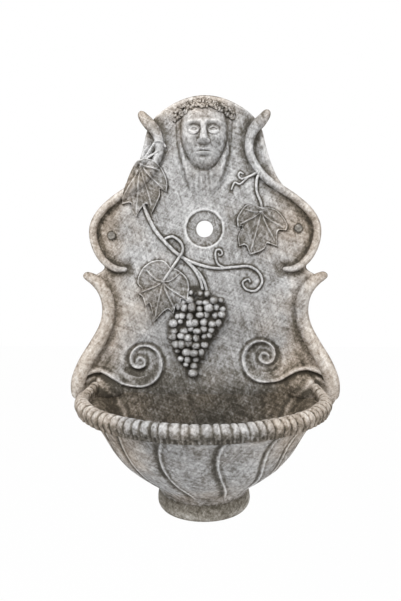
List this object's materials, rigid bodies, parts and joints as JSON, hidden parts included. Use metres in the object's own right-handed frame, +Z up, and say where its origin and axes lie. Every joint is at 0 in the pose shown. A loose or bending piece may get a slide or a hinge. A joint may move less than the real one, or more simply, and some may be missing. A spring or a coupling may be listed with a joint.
{
  "type": "garden sink",
  "caption": "Wall-hung cast-stone garden sink with a curved back panel, vine relief, tap seat, fluted half bowl and round foot.",
  "frame": {"origin": "on the wall plane, at the middle line and the height of the bowl's rope rim", "axes": "+Y into the wall, +Z up, +X to the viewer's right"},
  "size_m": [0.48, 0.3239, 0.71],
  "materials": {
    "cast_stone": "antiqued cast stone, light on the high places and dark in the hollows",
    "foot_stone": "speckled brown cast stone",
    "steel": "dull, weathered",
    "strainer_steel": "satin",
    "brass": "dull brass",
    "rubber": "matt black"
  },
  "bodies": {
    "sink": {"back_panel": "cast_stone", "mask": "cast_stone", "leaf_left": "cast_stone", "leaf_right": "cast_stone", "leaf_middle": "cast_stone", "vine": "cast_stone", "leaf_stem": "cast_stone", "tendril": "cast_stone", "grape_bunch": "cast_stone", "bowl": "cast_stone", "rope_rim": "cast_stone", "foot_collar": "foot_stone", "wall_screw_left": "steel", "wall_screw_washer_left": "steel", "bowl_bolt_left": "steel", "bowl_bolt_washer_left": "steel", "bowl_bolt_sleeve_left": "brass", "wall_screw_right": "steel", "wall_screw_washer_right": "steel", "bowl_bolt_right": "steel", "bowl_bolt_washer_right": "steel", "bowl_bolt_sleeve_right": "brass", "collar_dowel_left": "steel", "collar_dowel_right": "steel", "collar_dowel_back": "steel", "drain_body": "brass", "drain_backnut": "brass", "drain_top_seal": "rubber", "drain_bottom_seal": "rubber"},
    "strainer": {"strainer": "strainer_steel"}
  },
  "joints": [
    {"name": "strainer_lift", "type": "slide", "parent": "sink", "child": "strainer", "axis": [0, 0, 1], "range_m": [0, 0.06]}
  ]
}
